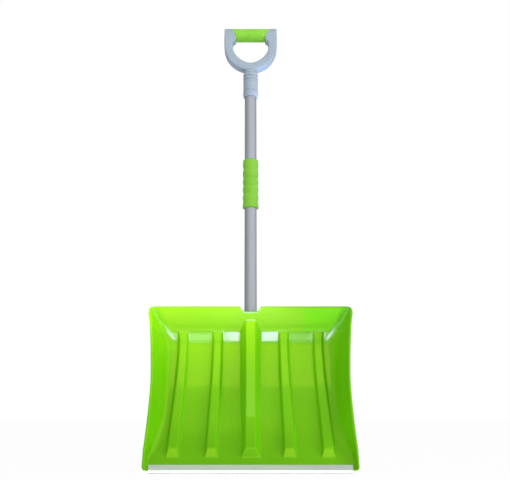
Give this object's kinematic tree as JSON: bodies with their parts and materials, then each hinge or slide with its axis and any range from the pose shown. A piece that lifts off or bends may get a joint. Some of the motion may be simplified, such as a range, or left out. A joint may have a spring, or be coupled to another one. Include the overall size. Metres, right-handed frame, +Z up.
{
  "type": "snow shovel",
  "caption": "Wide moulded snow scoop with raised ribs and an aluminium wear strip, on a round metal shaft with a soft mid grip and a D-shaped end grip.",
  "frame": {"origin": "on the ground at the middle of the cutting edge, with the shovel standing on that edge", "axes": "+Z up along the shaft, -Y out of the scoop's open front, +X across its width"},
  "size_m": [0.4788, 0.0978, 1.1173],
  "materials": {
    "blade_plastic": "glossy lime-green moulded polypropylene",
    "strip_aluminium": "bare extruded aluminium with fine lines along its length",
    "shaft_aluminium": "satin silver-grey anodised tube",
    "grip_plastic": "satin pale blue-grey moulded plastic",
    "soft_grip": "soft matte lime-green grip rubber",
    "zinc_steel": "bright zinc-plated steel",
    "plug_plastic": "black moulded plastic"
  },
  "bodies": {
    "root": {"blade": "blade_plastic", "wear_strip": "strip_aluminium", "strip_screw_1": "zinc_steel", "strip_screw_2": "zinc_steel", "strip_screw_3": "zinc_steel", "strip_screw_4": "zinc_steel", "strip_screw_5": "zinc_steel", "shaft_tube": "shaft_aluminium", "tube_end_plug": "plug_plastic", "blade_screw_upper": "zinc_steel", "blade_screw_lower": "zinc_steel", "mid_grip": "soft_grip", "grip_handle": "grip_plastic", "grip_sleeve": "soft_grip", "grip_screw": "zinc_steel"}
  },
  "joints": []
}
